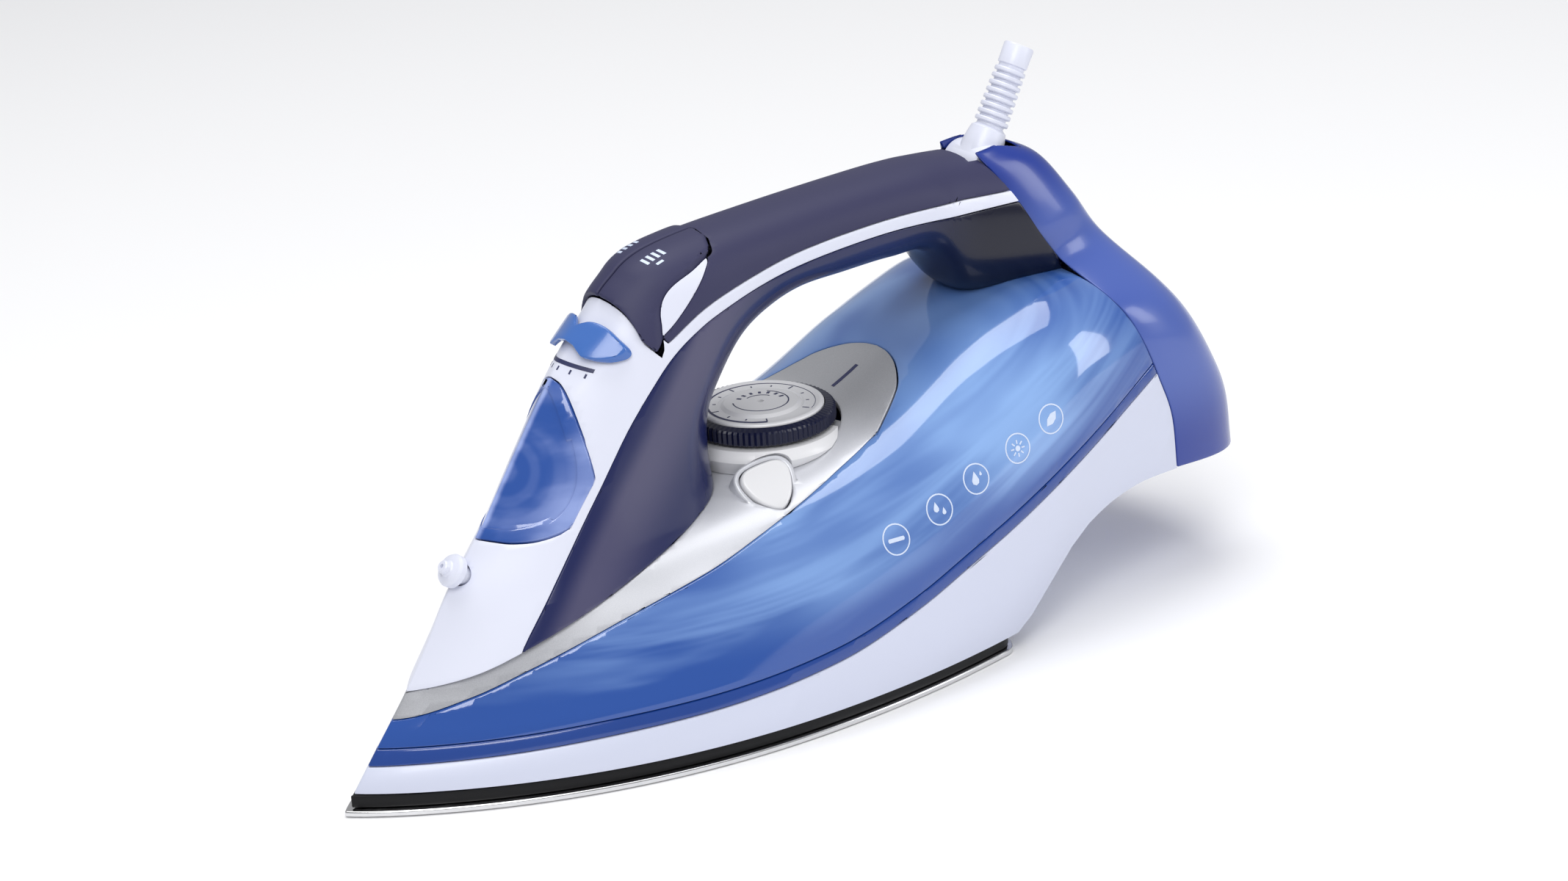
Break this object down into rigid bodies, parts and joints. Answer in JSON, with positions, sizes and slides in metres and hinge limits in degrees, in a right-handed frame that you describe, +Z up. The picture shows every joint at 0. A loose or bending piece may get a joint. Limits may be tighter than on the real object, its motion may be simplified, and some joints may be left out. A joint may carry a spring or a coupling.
{
  "type": "steam iron",
  "caption": "Steam iron with a closed-loop handle, temperature dial, spray and burst buttons, inlet lid, steam lever and swivelling strain relief.",
  "frame": {"origin": "midway between the nose and the heel on the centre plane, on the surface that the soleplate rests on", "axes": "+Z up, -X towards the nose, +X towards the heel and the cord, the object symmetric left and right of the XZ plane"},
  "size_m": [0.327, 0.112, 0.1781],
  "materials": {
    "sole_steel": "polished steel sole with a fine grain",
    "cast_aluminium": "rough casting",
    "heater_steel": "heat-darkened sheath",
    "shield_black": "matt black, heat resistant",
    "pearl_plastic": "pearl white with a lavender tint",
    "silver_plastic": "satin silver pearl",
    "tank_blue": "translucent blue, high gloss",
    "rim_blue": "deep blue gloss",
    "navy_gloss": "dark navy gloss",
    "grip_navy": "soft matt navy with a purple tint",
    "cover_blue": "blue gloss",
    "white_plastic": "satin white",
    "clear_plastic": "clear",
    "brass_parts": "plain brass",
    "plain_steel": "plain steel"
  },
  "bodies": {
    "housing": {"soleplate": "sole_steel", "sole_casting": "cast_aluminium", "heating_element": "heater_steel", "steam_chamber_cover": "cast_aluminium", "heat_shield": "shield_black", "lower_shell": "pearl_plastic", "tank_floor": "rim_blue", "console": "silver_plastic", "water_tank": "tank_blue", "pilot_lamp_lens": "clear_plastic", "dial_collar": "silver_plastic", "spindle_tube": "rim_blue", "thermostat": "brass_parts", "front_frame": "pearl_plastic", "accent_left": "pearl_plastic", "accent_right": "pearl_plastic", "handle_shell": "navy_gloss", "grip_cover": "grip_navy", "spray_pump": "white_plastic", "spray_spring": "plain_steel", "burst_pump": "white_plastic", "burst_spring": "plain_steel", "inlet_well": "rim_blue", "valve_rod": "brass_parts", "dosing_valve": "brass_parts", "spray_nozzle": "white_plastic", "spray_tube": "clear_plastic", "burst_tube": "clear_plastic", "heel_screw_left": "plain_steel", "heel_screw_right": "plain_steel", "back_cover": "cover_blue", "terminal_block": "white_plastic", "cord_clamp": "white_plastic", "thermal_fuse": "brass_parts"},
    "dial": {"temperature_dial": "white_plastic", "dial_ring": "navy_gloss", "dial_spindle": "plain_steel"},
    "spray_key": {"spray_button": "grip_navy"},
    "burst_key": {"burst_button": "grip_navy"},
    "clean_key": {"self_clean_button": "white_plastic"},
    "lid": {"inlet_lid": "tank_blue"},
    "lever": {"steam_lever": "tank_blue"},
    "guard": {"cord_guard": "white_plastic"}
  },
  "joints": [
    {"name": "dial_turn", "type": "hinge", "parent": "housing", "child": "dial", "pos_m": [-0.0043, 0, 0.083], "axis": [0, 0, 1], "range_deg": [0, 290]},
    {"name": "spray_press", "type": "slide", "parent": "housing", "child": "spray_key", "axis": [0.7071, 0, -0.7071], "range_m": [0, 0.0025], "stiffness_N_per_m": 600, "springref_m": -0.004},
    {"name": "burst_press", "type": "slide", "parent": "housing", "child": "burst_key", "axis": [0.7071, 0, -0.7071], "range_m": [0, 0.0025], "stiffness_N_per_m": 600, "springref_m": -0.004},
    {"name": "clean_press", "type": "slide", "parent": "housing", "child": "clean_key", "axis": [0.1987, 0.7165, -0.6687], "range_m": [0, 0.002], "stiffness_N_per_m": 600, "springref_m": -0.004},
    {"name": "lid_open", "type": "hinge", "parent": "housing", "child": "lid", "pos_m": [-0.0805, 0, 0.1141], "axis": [0, 1, 0], "range_deg": [0, 70]},
    {"name": "steam_set", "type": "hinge", "parent": "housing", "child": "lever", "pos_m": [-0.067, 0, 0.1235], "axis": [-0.7954, 0, 0.606], "range_deg": [-12, 12]},
    {"name": "guard_swivel", "type": "hinge", "parent": "housing", "child": "guard", "pos_m": [0.0845, 0, 0.141], "axis": [0, 1, 0], "range_deg": [-15, 2]}
  ]
}
